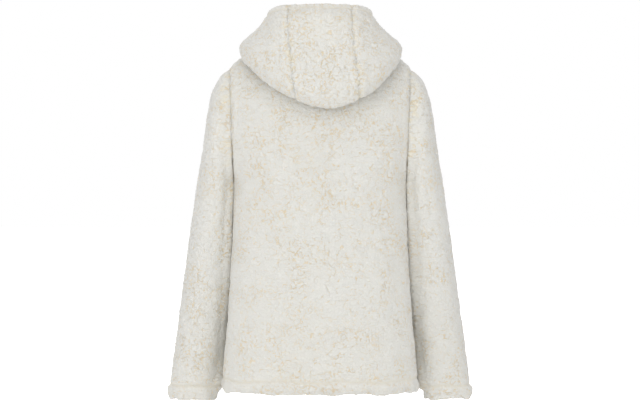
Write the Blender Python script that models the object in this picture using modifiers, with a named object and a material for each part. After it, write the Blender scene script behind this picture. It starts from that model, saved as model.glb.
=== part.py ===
"""A hooded jacket of sherpa fleece, filled out as if worn, with its hood down on the back.

Metres, +Z up. The wearer faces -Y, so +X is the wearer's left. The origin is the middle of the
neck opening, level with the high points of the shoulders. The panels are lofted as they are cut:
back, two fronts, two sleeves and a hood of three pieces, with a full-length zip in front.
"""

import math

import bmesh
import bpy
import numpy as np
from mathutils import Matrix, Vector

# ---- Cloth ----
CLOTH = 0.005  # knitted ground and pressed pile
TURNED = 0.008  # the same cloth turned up at the hem, the cuffs and the hood's edge
SEAM_GAP = 0.0003
ARM_GAP = 0.0006  # the sleeve starts this far out from the armhole's plane
NECK_GAP = 0.0012  # the hood's corners don't meet the neckline's one to one at the back

# ---- Torso ----
ROUNDNESS = 2.5  # power of the torso's oval sections, where 2 is an ellipse
HEM = -0.669
HEM_STITCHES = -0.643
# Half width, and how far the middle lies to the back and to the front. The pinch is how far a
# hanging sleeve presses each side in.
TORSO_COLUMNS = ("height", "half_width", "back", "front", "pinch")
TORSO = (
    (HEM, 0.187, 0.119, 0.129, 0.002),
    (-0.657, 0.192, 0.124, 0.134, 0.003),
    (HEM_STITCHES, 0.190, 0.122, 0.132, 0.005),
    (-0.591, 0.187, 0.122, 0.134, 0.010),
    (-0.495, 0.180, 0.122, 0.137, 0.013),
    (-0.399, 0.174, 0.121, 0.140, 0.013),
    (-0.310, 0.170, 0.120, 0.142, 0.009),
    (-0.270, 0.166, 0.120, 0.142, 0.000),
    (-0.159, 0.169, 0.118, 0.132, 0.000),
)
LOWER_ROWS = (HEM, -0.657, HEM_STITCHES, -0.60, -0.54, -0.48, -0.42, -0.36, -0.315, -0.285)
TURNED_ROWS = 2
PRESS_MIDDLE, PRESS_REACH = -0.015, 0.045  # where a sleeve presses, from front to back

# ---- Armhole: an oval in a plane that faces sideways ----
ARM_ROUNDNESS = 2.2
SHOULDER_TIP = (0.172, -0.048)  # x and z of its top
UNDERARM = (0.166, -0.270)  # x and z of its foot
ARM_HALF_DEPTH = 0.066
QUARTER = 5  # steps in a quarter of the armhole

# ---- Neckline and shoulder ----
NECK_HALF_WIDTH = 0.075
# Its reach to the back or the front, its height there, and how late it starts to fall.
NECK_BACK = (0.066, -0.020, 2.0)
NECK_FRONT = (0.078, -0.085, 2.2)
NECK_COLUMNS, SHOULDER_COLUMNS = 5, 5
SHOULDER_FALL, SHOULDER_ROUND = 0.036, 0.012
YOKE_ROUNDNESS = 1.5  # at the neck; at the armhole it is the armhole's own

# ---- Sleeve: rings from the armhole to the cuff ----
# Each ring's outer and inner points, its middle from front to back, and its half depth.
SLEEVE_COLUMNS = ("out_x", "out_z", "in_x", "in_z", "middle", "half_depth", "wall")
SLEEVE = (
    (*SHOULDER_TIP, *UNDERARM, 0.000, ARM_HALF_DEPTH, CLOTH),
    (0.188, -0.063, 0.1675, -0.2735, -0.001, 0.069, CLOTH),
    (0.2025, -0.086, 0.1685, -0.2775, -0.003, 0.072, CLOTH),
    (0.212, -0.118, 0.169, -0.283, -0.005, 0.074, CLOTH),
    (0.219, -0.158, 0.169, -0.290, -0.007, 0.076, CLOTH),
    (0.225, -0.205, 0.1685, -0.300, -0.010, 0.077, CLOTH),
    (0.233, -0.253, 0.168, -0.316, -0.012, 0.077, CLOTH),
    (0.241, -0.303, 0.168, -0.342, -0.015, 0.076, CLOTH),
    (0.249, -0.355, 0.168, -0.376, -0.018, 0.074, CLOTH),
    (0.257, -0.415, 0.170, -0.424, -0.022, 0.071, CLOTH),
    (0.266, -0.480, 0.175, -0.484, -0.026, 0.067, CLOTH),
    (0.275, -0.545, 0.182, -0.547, -0.029, 0.062, CLOTH),
    (0.284, -0.610, 0.190, -0.610, -0.031, 0.056, CLOTH),
    (0.289, -0.650, 0.194, -0.652, -0.032, 0.052, CLOTH),
    (0.293, -0.664, 0.197, -0.666, -0.032, 0.051, TURNED),
    (0.293, -0.676, 0.199, -0.678, -0.032, 0.050, TURNED),
    (0.289, -0.686, 0.202, -0.688, -0.032, 0.047, TURNED),
)

# ---- Hood, lying open on the back ----
# Sections round the neck, from the middle of the back (0 degrees) to the throat. Each goes from
# the neck seam over a crest, down the under layer to the fold, and up the outer layer to the edge.
# After the angle, each station has its radius and its height.
HOOD_STATIONS = ("crest", "under", "fold", "belly", "waist", "edge")
HOOD_SECTIONS = (
    (0, 0.078, 0.001, 0.114, -0.092, 0.142, -0.134, 0.168, -0.090, 0.132, 0.026, 0.092, 0.0665),
    (30, 0.080, 0.004, 0.118, -0.071, 0.151, -0.109, 0.174, -0.067, 0.131, 0.027, 0.094, 0.0665),
    (60, 0.084, 0.012, 0.119, -0.025, 0.155, -0.056, 0.167, -0.022, 0.123, 0.029, 0.097, 0.0645),
    (90, 0.086, 0.017, 0.118, -0.008, 0.141, -0.022, 0.147, -0.004, 0.115, 0.026, 0.097, 0.0575),
    (120, 0.084, -0.001, 0.101, -0.008, 0.115, -0.016, 0.122, -0.008, 0.109, 0.018, 0.096, 0.038),
    (150, 0.082, -0.046, 0.088, -0.040, 0.094, -0.034, 0.098, -0.025, 0.097, -0.009, 0.090, 0.007),
    (176, 0.0795, -0.077, 0.0815, -0.070, 0.0835, -0.063, 0.085, -0.056, 0.0855, -0.047, 0.085, -0.038),
)
HOOD_STRIP_HALF = 0.061  # half the middle strip's width
HOOD_STEPS = 3  # rows between two stations
STRIP_COLUMNS, HOOD_REAR_COLUMNS = 6, 6
NECK_SLOPE_REACH = 4.0  # the neck seam's slope is taken this many degrees to either side
HOOD_LEAN = 0.016  # the fold hangs this far towards the wearer's right
HOOD_LEAN_TOP, HOOD_LEAN_FOOT = 0.02, -0.13
HOOD_LEAN_START, HOOD_LEAN_FULL = 1 / 6, 1 / 2  # shares of the way from the neck seam to the edge

# ---- Zip ----
FRONT_EDGE = 0.0085  # half the slot between the fronts
TAPE_INNER, TAPE_OUTER, TAPE_THICK = 0.0034, 0.0190, 0.0010
TAPE_GAP = 0.0004  # between a front's wrong side and its tape
PART_GAP = 0.0003  # between two of the zip's hard parts
CHAIN_HALF, CHAIN_THICK = 0.0030, 0.0026
CHAIN_STEP = 0.004  # its shortest run between two bends
BOX_SIZE = (0.0060, 0.0036, 0.0080)
BOX_ABOVE_HEM = 0.0008
BOX_BEVEL = 0.0004
SLIDER_BELOW_NECK = 0.021  # down the front from the neckline to the slider's middle
SLIDER_SIZE = (0.0095, 0.0016, 0.0120)  # its front plate
SLIDER_BACK_THICK = 0.0012
SLIDER_BEVEL = 0.0004
SLIDER_NECK = (0.0036, 0.0045)  # width and length of the post between the plates
BAIL_SIZE = (0.0022, 0.0042, 0.0080)  # the bridge on the front plate
BAIL_OPENING = (0.0028, 0.0048)  # its height and length
BAIL_SINK = 0.0004
PULL_SIZE = (0.0075, 0.0014, 0.0300)
PULL_EYE = (0.0036, 0.0062)
PULL_BAR = 0.0016  # the bar above the eye, which lies in the bail
PULL_BEVEL = 0.0003

# ---- Finishes: colour, roughness, metallic ----
FINISHES = {
    "fleece": ((0.86, 0.84, 0.79), 0.95, 0.0),
    "tape": ((0.80, 0.78, 0.73), 0.85, 0.0),
    "teeth": ((0.78, 0.76, 0.71), 0.45, 0.0),
    "metal": ((0.62, 0.61, 0.59), 0.35, 1.0),
}
SHARP_ANGLE = 50


def power(value, exponent):
    """A signed power, as the sides of a superellipse need."""
    return math.copysign(abs(value) ** exponent, value)


def unit(vector):
    return vector / np.linalg.norm(vector)


def smooth_at(knots, values, at):
    """The value at one place on a smooth curve through knots."""
    knots, values = np.asarray(knots, float), np.asarray(values, float)
    slopes = np.gradient(values, knots)
    row = int(np.clip(np.searchsorted(knots, at) - 1, 0, len(knots) - 2))
    width = knots[row + 1] - knots[row]
    t = (at - knots[row]) / width
    return (
        (2 * t**3 - 3 * t**2 + 1) * values[row]
        + (t**3 - 2 * t**2 + t) * width * slopes[row]
        + (3 * t**2 - 2 * t**3) * values[row + 1]
        + (t**3 - t**2) * width * slopes[row + 1]
    )


# ---- The torso's surface ----


def torso_size(column, height):
    place = TORSO_COLUMNS.index(column)
    return smooth_at([row[0] for row in TORSO], [row[place] for row in TORSO], height)


def armhole_point(turn):
    """Width, half depth and height of the armhole: a quarter turn up is its top, down its foot."""
    lift = power(math.sin(turn), 2 / ARM_ROUNDNESS)
    depth = ARM_HALF_DEPTH * abs(math.cos(turn)) ** (2 / ARM_ROUNDNESS)
    x, z = (
        (top + foot) / 2 + (top - foot) / 2 * lift for top, foot in zip(SHOULDER_TIP, UNDERARM)
    )
    return x, depth, z


def oval_point(share, half_width, depth, edge_depth):
    """Point of a half section, from its middle (share 0) to its edge (share 1)."""
    last = math.acos((edge_depth / depth) ** (ROUNDNESS / 2))
    across = half_width / math.sin(last) ** (2 / ROUNDNESS)
    turn = share * last
    x = across * math.sin(turn) ** (2 / ROUNDNESS)
    return x, depth * math.cos(turn) ** (2 / ROUNDNESS)


def pressed(x, y, height):
    """x of a side after the hanging sleeve has pressed it in."""
    reach = math.exp(-(((y - PRESS_MIDDLE) / PRESS_REACH) ** 2))
    return x - torso_size("pinch", height) * reach * (x / torso_size("half_width", height)) ** 4


def top_edge(share, side):
    """Point of the neckline and shoulder seam on one half; side is 1 at the back, -1 in front."""
    neck_share = NECK_COLUMNS / (NECK_COLUMNS + SHOULDER_COLUMNS)
    if share <= neck_share:
        turn = share / neck_share * math.pi / 2
        reach, drop, bend = NECK_BACK if side > 0 else NECK_FRONT
        forward = max(math.cos(turn), 0.0)
        return NECK_HALF_WIDTH * math.sin(turn), side * reach * forward, drop * forward**bend
    along = (share - neck_share) / (1 - neck_share)
    x = NECK_HALF_WIDTH + along * (SHOULDER_TIP[0] - NECK_HALF_WIDTH)
    return x, 0.0, -SHOULDER_FALL * along - SHOULDER_ROUND * along**6


def lower_point(share, side, height):
    """Point of a half section below the armhole."""
    depth = torso_size("back" if side > 0 else "front", height)
    x, y = oval_point(share, torso_size("half_width", height), depth, 0.0)
    return pressed(x, side * y, height), side * y, height


def armhole_row_point(share, side, turn):
    """Point of a half section whose edge is on the armhole."""
    edge_x, edge_depth, height = armhole_point(turn)
    depth = torso_size("back" if side > 0 else "front", height)
    x, y = oval_point(share, edge_x, depth, edge_depth)
    return x, side * y, height


def yoke_point(share, side, turn):
    """Point above the armhole's middle, where the cloth rounds over to its top edge."""
    low, top = armhole_row_point(share, side, 0.0), top_edge(share, side)
    bend = 2 / (YOKE_ROUNDNESS + (ARM_ROUNDNESS - YOKE_ROUNDNESS) * share)
    rise, draw = math.sin(turn) ** bend, max(math.cos(turn), 0.0) ** bend
    return (
        low[0] + (top[0] - low[0]) * rise,
        top[1] + (low[1] - top[1]) * draw,
        low[2] + (top[2] - low[2]) * rise,
    )


def slotted(point, slot):
    """A point moved sideways to leave half the zip's slot at the middle of the front."""
    x, y, z = point
    return x + slot * max(1 - x / NECK_HALF_WIDTH, 0), y, z


def half_panel(side, slot=0.0):
    """Grid of a half panel from its hem to its top edge, and from its middle to its side."""
    rows = [(lower_point, height) for height in LOWER_ROWS]
    turns = [step / QUARTER * math.pi / 2 for step in range(-QUARTER, QUARTER + 1)]
    rows += [(armhole_row_point if turn <= 0 else yoke_point, turn) for turn in turns]
    columns = NECK_COLUMNS + SHOULDER_COLUMNS
    shares = [column / columns for column in range(columns + 1)]
    return np.array([[slotted(rule(share, side, at), slot) for share in shares] for rule, at in rows])


def other_side(grid):
    """The same panel on the wearer's other side, with its columns turned round."""
    return (grid * (-1, 1, 1))[:, ::-1]


# ---- The sleeve's surface ----


def sleeve_grid():
    """Rings from the armhole to the cuff, each from its outer point round by the back."""
    grid = []
    for out_x, out_z, in_x, in_z, middle, half_depth, _ in SLEEVE:
        ring = []
        for step in range(4 * QUARTER):
            turn = step / QUARTER * math.pi / 2
            # Rounded, so that a ring's quarter points are exact.
            lift = power(round(math.cos(turn), 12), 2 / ARM_ROUNDNESS)
            depth = power(round(math.sin(turn), 12), 2 / ARM_ROUNDNESS)
            x = (out_x + in_x) / 2 + (out_x - in_x) / 2 * lift
            z = (out_z + in_z) / 2 + (out_z - in_z) / 2 * lift
            ring.append((x, middle + half_depth * depth, z))
        grid.append(ring)
    return np.array(grid)


# ---- The hood's surface ----


def polar_angle(point):
    """Angle round the neck, from the middle of the back."""
    return math.degrees(math.atan2(point[0], point[1]))


def neck_corners(side):
    """Corners of the body's neckline on one half, from its middle to the shoulder."""
    columns = NECK_COLUMNS + SHOULDER_COLUMNS
    slot = 0.0 if side > 0 else FRONT_EDGE
    return [slotted(top_edge(column / columns, side), slot) for column in range(NECK_COLUMNS + 1)]


def neckline(angle):
    """Radius and height of the neck seam at an angle from the middle of the back."""
    corners = neck_corners(1) if angle <= 90 else neck_corners(-1)[::-1]
    angles = [polar_angle(corner) for corner in corners]
    row = min(max(int(np.searchsorted(angles, angle)), 1), NECK_COLUMNS)
    before, after = np.array(corners[row - 1]), np.array(corners[row])
    # How far each corner lies to the side of the ray at that angle.
    across = np.array((math.cos(math.radians(angle)), -math.sin(math.radians(angle)), 0))
    share = before @ across / (before @ across - after @ across)
    x, y, z = before + (after - before) * share
    return math.hypot(x, y), z + NECK_GAP


def hood_place(angle, along):
    """Radius and height on the hood, along from 0 at the neck seam to 1 at the edge."""
    # A copy of the second section on the far side keeps the middle of the back smooth.
    sections = [(-HOOD_SECTIONS[1][0], *HOOD_SECTIONS[1][1:]), *HOOD_SECTIONS]
    angles = [section[0] for section in sections]
    place = []
    for part, start in enumerate(neckline(angle)):
        profile = [start]
        for station in range(len(HOOD_STATIONS)):
            column = [section[1 + 2 * station + part] for section in sections]
            profile.append(smooth_at(angles, column, angle))
        place.append(smooth_at(range(len(profile)), profile, along * len(HOOD_STATIONS)))
    return place


def hood_point(angle, along):
    """Point of the hood; a negative angle is on the wearer's right."""
    radius, height = hood_place(abs(angle), along)
    turn = math.radians(angle)
    fall = (HOOD_LEAN_TOP - height) / (HOOD_LEAN_TOP - HOOD_LEAN_FOOT)
    grown = (along - HOOD_LEAN_START) / (HOOD_LEAN_FULL - HOOD_LEAN_START)
    lean = HOOD_LEAN * min(max(fall, 0), 1) * min(max(grown, 0), 1) * max(math.cos(turn), 0)
    return radius * math.sin(turn) - lean, radius * math.cos(turn), height


def strip_angle(across, along):
    """The angle at which the hood is so far from its middle, sideways."""
    angle = HOOD_SECTIONS[1][0]
    for _ in range(8):
        angle = math.degrees(math.asin(across / hood_place(abs(angle), along)[0]))
    return angle


def hood_grids():
    """The middle strip's grid, and the left and right side panels' grids."""
    rows = HOOD_STEPS * len(HOOD_STATIONS)
    front_angles = [polar_angle(corner) for corner in neck_corners(-1)[::-1]]
    strip, left, right = [], [], []
    for row in range(rows + 1):
        along = row / rows
        across = np.linspace(-HOOD_STRIP_HALF, HOOD_STRIP_HALF, STRIP_COLUMNS + 1)
        strip.append([hood_point(strip_angle(x, along), along) for x in across])
        seam = strip_angle(HOOD_STRIP_HALF, along)
        rear_angles = np.linspace(seam, 90, HOOD_REAR_COLUMNS, endpoint=False)
        angles = [*rear_angles, *front_angles]
        left.append([hood_point(angle, along) for angle in angles])
        right.append([hood_point(-angle, along) for angle in angles[::-1]])
    return np.array(strip), np.array(left), np.array(right)


# ---- Panels: grids with their normals, walls and seams ----


def cloth_panels():
    """Every cloth panel of the jacket."""
    back_half = half_panel(1)
    back = np.concatenate([other_side(back_half), back_half[:, 1:]], axis=1)
    front = half_panel(-1, FRONT_EDGE)
    torso_walls = [TURNED] * TURNED_ROWS + [CLOTH] * (len(back) - TURNED_ROWS)
    sleeve = sleeve_grid()
    sleeve_walls = [row[SLEEVE_COLUMNS.index("wall")] for row in SLEEVE]
    strip, hood_left, hood_right = hood_grids()
    hood_walls = [CLOTH] * (len(strip) - 1) + [TURNED]
    # The columns run to +X at the back and to -X in front.
    rows = (
        ("back", "torso", back, torso_walls, ("start", "end", "top")),
        ("front_left", "torso", front[:, ::-1], torso_walls, ("start", "top")),
        ("front_right", "torso", other_side(front)[:, ::-1], torso_walls, ("end", "top")),
        ("sleeve_left", "sleeve", sleeve, sleeve_walls, ("foot",)),
        ("sleeve_right", "sleeve", other_side(sleeve), sleeve_walls, ("foot",)),
        ("hood_middle", "hood", strip, hood_walls, ("start", "end")),
        ("hood_left", "hood", hood_left, hood_walls, ("start",)),
        ("hood_right", "hood", hood_right, hood_walls, ("end",)),
    )
    panels = []
    for name, part, grid, walls, seams in rows:
        panel = {"name": name, "part": part, "grid": grid.copy(), "walls": walls, "seams": seams}
        panel["normals"] = outward_normals(panel)
        panels.append(panel)
    return panels


def outward_normals(panel):
    """Unit normals on the cloth's right side."""
    grid = panel["grid"]
    if panel["part"] == "sleeve":
        around = np.roll(grid, -1, axis=1) - np.roll(grid, 1, axis=1)
    else:
        around = np.gradient(grid, axis=1)
    normals = np.cross(np.gradient(grid, axis=0), around)
    normals /= np.linalg.norm(normals, axis=2, keepdims=True)
    # On each of these rows, out is away from the middle of the neck or of the sleeve.
    row = {"torso": 3, "sleeve": -3, "hood": -4}[panel["part"]]
    middle = grid[row].mean(axis=0) if panel["part"] == "sleeve" else (0, 0, 0)
    away = (grid[row] - middle) * (1, 1, 0)
    return normals if (normals[row] * away).sum() > 0 else -normals


def place_key(point):
    """The same for points that meet at a seam."""
    return tuple(np.round(point * 1e5).astype(int))


def share_seam_normals(panels):
    """Panels that meet at a seam get one normal there, so that their walls stay side by side."""
    sums = {}
    for panel in panels:
        for point, normal in zip(panel["grid"].reshape(-1, 3), panel["normals"].reshape(-1, 3)):
            parts = sums.setdefault(place_key(point), {})
            parts[panel["part"]] = parts.get(panel["part"], 0) + normal
    for panel in panels:
        normals = panel["normals"].reshape(-1, 3)
        for index, point in enumerate(panel["grid"].reshape(-1, 3)):
            # The torso's two panels count once against the sleeve.
            normals[index] = unit(sum(unit(part) for part in sums[place_key(point)].values()))


def neck_normal(point):
    """At the neck seam the walls are mitred, halfway between straight up and straight out."""
    side = math.copysign(1, point[0])
    angle = polar_angle((abs(point[0]), point[1]))
    ends = []
    for near in (angle - NECK_SLOPE_REACH, angle + NECK_SLOPE_REACH):
        radius, height = neckline(near)
        turn = math.radians(near)
        ends.append((side * radius * math.sin(turn), radius * math.cos(turn), height))
    slope = unit(np.subtract(*ends))
    upright = unit(np.array((0, 0, 1)) - slope * slope[2])
    return unit(unit(point * (1, 1, 0)) + upright)


def mitre_neck(panel, row):
    """Sets the neck seam's normals on one of a panel's rows."""
    for column, point in enumerate(panel["grid"][row]):
        if math.hypot(point[0], point[1]) < NECK_FRONT[0] + SEAM_GAP:
            panel["normals"][row, column] = neck_normal(point)


def square_to_zip(panel):
    """At the zip the fronts' walls stand square to it."""
    near = np.isclose(np.abs(panel["grid"][..., 0]), FRONT_EDGE)
    panel["normals"][near, 0] = 0
    panel["normals"][near] /= np.linalg.norm(panel["normals"][near], axis=1, keepdims=True)


def open_seams(panel):
    """Draws the panel's seamed borders back by half the seam's gap."""
    grid, drawn = panel["grid"], panel["grid"].copy()
    borders = {
        "top": ((-1, slice(None)), (-2, slice(None))),
        "start": ((slice(None), 0), (slice(None), 1)),
        "end": ((slice(None), -1), (slice(None), -2)),
    }
    for border in panel["seams"]:
        if border == "foot":
            drawn[0] += (math.copysign(ARM_GAP, grid[0, 0, 0]), 0, 0)
            continue
        edge, next_in = borders[border]
        step = grid[next_in] - grid[edge]
        drawn[edge] += step / np.linalg.norm(step, axis=1, keepdims=True) * SEAM_GAP / 2
    panel["grid"] = drawn


# ---- Solids ----


def make_material(name):
    colour, roughness, metallic = FINISHES[name]
    material = bpy.data.materials.new(name)
    material.use_nodes = True
    shader = material.node_tree.nodes["Principled BSDF"]
    shader.inputs["Base Color"].default_value = (*colour, 1)
    shader.inputs["Roughness"].default_value = roughness
    shader.inputs["Metallic"].default_value = metallic
    return material


def finish(obj, name, material, collection):
    """Names an object and puts it in the jacket's collection with its material and shading."""
    obj.name = obj.data.name = name
    obj.data.materials.clear()
    obj.data.materials.append(material)
    for other in list(obj.users_collection):
        other.objects.unlink(obj)
    collection.objects.link(obj)
    obj.data.shade_smooth()
    obj.data.set_sharp_from_angle(angle=math.radians(SHARP_ANGLE))


def add_rim(cloth, outer, outer_next, inner_next, inner):
    """A rim's twisted face, cut from its higher outer corner as its neighbour's is."""
    if outer.co.z >= outer_next.co.z:
        cloth.faces.new((outer, outer_next, inner_next))
        cloth.faces.new((outer, inner_next, inner))
    else:
        cloth.faces.new((outer, outer_next, inner))
        cloth.faces.new((outer_next, inner_next, inner))


def loft_wall(name, grid, normals, walls, material, collection, closed=False):
    """A wall between an outer grid and the same grid moved in by the wall's thickness."""
    rows, columns = grid.shape[:2]
    spans = columns if closed else columns - 1
    cloth = bmesh.new()
    outer = [[cloth.verts.new(point) for point in row] for row in grid]
    inner_grid = grid - normals * np.reshape(walls, (-1, 1, 1))
    inner = [[cloth.verts.new(point) for point in row] for row in inner_grid]
    for row in range(rows - 1):
        for column in range(spans):
            after = (column + 1) % columns
            for face in (outer, inner):
                lower, upper = face[row], face[row + 1]
                cloth.faces.new((lower[column], lower[after], upper[after], upper[column]))
    for row in (0, rows - 1):
        for column in range(spans):
            after = (column + 1) % columns
            ends = outer[row][column], outer[row][after]
            add_rim(cloth, *ends, inner[row][after], inner[row][column])
    for column in () if closed else (0, columns - 1):
        for row in range(rows - 1):
            ends = outer[row][column], outer[row + 1][column]
            add_rim(cloth, *ends, inner[row + 1][column], inner[row][column])
    bmesh.ops.recalc_face_normals(cloth, faces=cloth.faces)
    mesh = bpy.data.meshes.new(name)
    cloth.to_mesh(mesh)
    cloth.free()
    obj = bpy.data.objects.new(name, mesh)
    bpy.context.scene.collection.objects.link(obj)
    finish(obj, name, material, collection)


def block(size, place=(0, 0, 0)):
    """A block of that size at a place in the working frame."""
    bpy.ops.mesh.primitive_cube_add(size=1)
    made = bpy.context.object
    made.data.transform(Matrix.Translation(place) @ Matrix.Diagonal((*size, 1)))
    return made


def keep_shape(obj):
    """Makes what an object's modifiers show its own mesh."""
    shown = obj.evaluated_get(bpy.context.evaluated_depsgraph_get())
    made = bpy.data.meshes.new_from_object(shown)
    obj.modifiers.clear()
    obj.data = made


def combine(base, other, operation):
    """Joins a block to the first one, or cuts it from it."""
    step = base.modifiers.new("combine", "BOOLEAN")
    step.operation = operation
    step.object = other
    keep_shape(base)
    bpy.data.objects.remove(other)


def bevel(obj, width):
    """Rounds the edges, as a casting's are."""
    step = obj.modifiers.new("bevel", "BEVEL")
    step.width = width
    step.segments = 2
    keep_shape(obj)


# ---- The zip ----


def zip_line(front):
    """Points down the zip's middle from the neckline to the hem, level with the tapes' middle."""
    edge = 0 if abs(front["grid"][0, 0, 0]) < abs(front["grid"][0, -1, 0]) else -1
    depth = np.array(front["walls"]) + TAPE_GAP + TAPE_THICK / 2
    points = front["grid"][:, edge] - front["normals"][:, edge] * depth[:, None]
    return (points * (0, 1, 1))[::-1]


def line_lengths(line):
    return np.concatenate([[0], np.cumsum(np.linalg.norm(np.diff(line, axis=0), axis=1))])


def line_frame(line, length):
    """A frame at a length down the line: X across, Y into the jacket, Z up the line."""
    lengths = line_lengths(line)
    row = int(np.clip(np.searchsorted(lengths, length) - 1, 0, len(line) - 2))
    up = Vector(line[row] - line[row + 1]).normalized()
    across = Vector((1, 0, 0))
    turn = Matrix((across, up.cross(across), up)).transposed().to_4x4()
    return Matrix.Translation(Vector(line[row]) - up * (length - lengths[row])) @ turn


def make_tape(name, front, material, collection):
    """One woven tape, sewn behind a front's edge and as long as the zip."""
    grid, normals, walls = front["grid"], front["normals"], np.array(front["walls"])
    edge, next_in = (0, 1) if abs(grid[0, 0, 0]) < abs(grid[0, -1, 0]) else (-1, -2)
    side = math.copysign(1, grid[0, edge, 0])
    span = (np.abs(grid[:, next_in, 0]) - FRONT_EDGE).min()
    columns, fields = [], []
    for across in (TAPE_INNER, FRONT_EDGE, TAPE_OUTER):
        share = max((across - FRONT_EDGE) / span, 0)
        place = grid[:, edge] * (1 - share) + grid[:, next_in] * share
        normal = normals[:, edge] * (1 - share) + normals[:, next_in] * share
        place[:, 0] = side * across
        columns.append(place - normal * (walls[:, None] + TAPE_GAP))
        fields.append(normal)
    tape, fields = np.stack(columns, axis=1), np.stack(fields, axis=1)
    loft_wall(name, tape, fields, [TAPE_THICK] * len(tape), material, collection)


def make_chain(line, material, collection):
    """The closed chain of teeth, from the retainer box up to the slider."""
    lengths = line_lengths(line)
    top = SLIDER_BELOW_NECK + SLIDER_SIZE[2] / 2 + PART_GAP
    foot = lengths[-1] - BOX_ABOVE_HEM - BOX_SIZE[2] - PART_GAP
    bends = [length for length in lengths if top + CHAIN_STEP < length < foot - CHAIN_STEP]
    frames = [line_frame(line, length) for length in (top, *bends, foot)]
    runs = [-frame.col[1].xyz for frame in frames]
    # Each bend of the line belongs to the runs on both sides of it.
    middles = [(before + after).normalized() for before, after in zip(runs[1:-1], runs[2:])]
    outs = [runs[0], *middles, runs[-1]]
    grid, fields = [], []
    for frame, out in zip(frames, outs):
        place = frame.translation + out * CHAIN_THICK / 2
        grid.append([place + Vector((edge, 0, 0)) for edge in (-CHAIN_HALF, CHAIN_HALF)])
        fields.append([out, out])
    walls = [CHAIN_THICK] * len(grid)
    loft_wall("zip_chain", np.array(grid), np.array(fields), walls, material, collection)


def make_slider(frame, material, collection):
    """Two plates, the post between them, and the bail. Returns how far out the front plate is."""
    width, thick, length = SLIDER_SIZE
    front_out = CHAIN_THICK / 2 + PART_GAP + thick / 2
    rear_out = CHAIN_THICK / 2 + PART_GAP + SLIDER_BACK_THICK / 2
    face = front_out + thick / 2
    slider = block(SLIDER_SIZE, (0, -front_out, 0))
    combine(slider, block((width, SLIDER_BACK_THICK, length), (0, rear_out, 0)), "UNION")
    bevel(slider, SLIDER_BEVEL)
    post_size = (SLIDER_NECK[0], front_out + rear_out, SLIDER_NECK[1])
    combine(slider, block(post_size, (0, (rear_out - front_out) / 2, length / 4)), "UNION")
    bail_size = (BAIL_SIZE[0], BAIL_SIZE[1] + BAIL_SINK, BAIL_SIZE[2])
    bail = block(bail_size, (0, -face - (BAIL_SIZE[1] - BAIL_SINK) / 2, 0))
    opening = block((BAIL_SIZE[0] * 2, *BAIL_OPENING), (0, -face - BAIL_OPENING[0] / 2, 0))
    combine(bail, opening, "DIFFERENCE")
    combine(slider, bail, "UNION")
    slider.matrix_world = frame
    finish(slider, "zip_slider", material, collection)
    return face


def make_pull(frame, face, material, collection):
    """A flat tab with an eye. Its origin is the middle of the bar that turns in the bail."""
    thick, length = PULL_SIZE[1:]
    pull = block(PULL_SIZE, (0, 0, PULL_BAR / 2 - length / 2))
    bevel(pull, PULL_BEVEL)
    eye = block((PULL_EYE[0], thick * 2, PULL_EYE[1]), (0, 0, -PULL_BAR / 2 - PULL_EYE[1] / 2))
    combine(pull, eye, "DIFFERENCE")
    bar = (0, -face - BAIL_OPENING[0] / 2, -BAIL_OPENING[1] / 2 + PULL_BAR / 2 + PART_GAP)
    pull.matrix_world = frame @ Matrix.Translation(bar)
    finish(pull, "zip_pull", material, collection)


def make_zip(panels, materials, collection):
    fronts = {panel["name"]: panel for panel in panels}
    make_tape("zip_tape_left", fronts["front_left"], materials["tape"], collection)
    make_tape("zip_tape_right", fronts["front_right"], materials["tape"], collection)
    line = zip_line(fronts["front_left"])
    make_chain(line, materials["teeth"], collection)
    box = block(BOX_SIZE)
    bevel(box, BOX_BEVEL)
    box.matrix_world = line_frame(line, line_lengths(line)[-1] - BOX_ABOVE_HEM - BOX_SIZE[2] / 2)
    finish(box, "zip_box", materials["metal"], collection)
    frame = line_frame(line, SLIDER_BELOW_NECK)
    face = make_slider(frame, materials["metal"], collection)
    make_pull(frame, face, materials["metal"], collection)


def main():
    for obj in list(bpy.data.objects):
        bpy.data.objects.remove(obj)
    collection = bpy.data.collections.new("fleece_jacket")
    bpy.context.scene.collection.children.link(collection)
    materials = {name: make_material(name) for name in FINISHES}
    panels = cloth_panels()
    share_seam_normals(panels)
    for panel in panels:
        if panel["part"] == "hood":
            mitre_neck(panel, 0)
        elif panel["part"] == "torso":
            mitre_neck(panel, -1)
            square_to_zip(panel)
    make_zip(panels, materials, collection)
    for panel in panels:
        open_seams(panel)
        shape = panel["grid"], panel["normals"], panel["walls"]
        closed = panel["part"] == "sleeve"
        loft_wall(panel["name"], *shape, materials["fleece"], collection, closed)


main()
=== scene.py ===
"""The looks of a hooded sherpa fleece jacket, filled out as if worn, with its hood down."""

import math

import bmesh
import bpy
import numpy as np
from mathutils import Matrix, Vector
from mathutils.bvhtree import BVHTree
from mathutils.kdtree import KDTree


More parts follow.
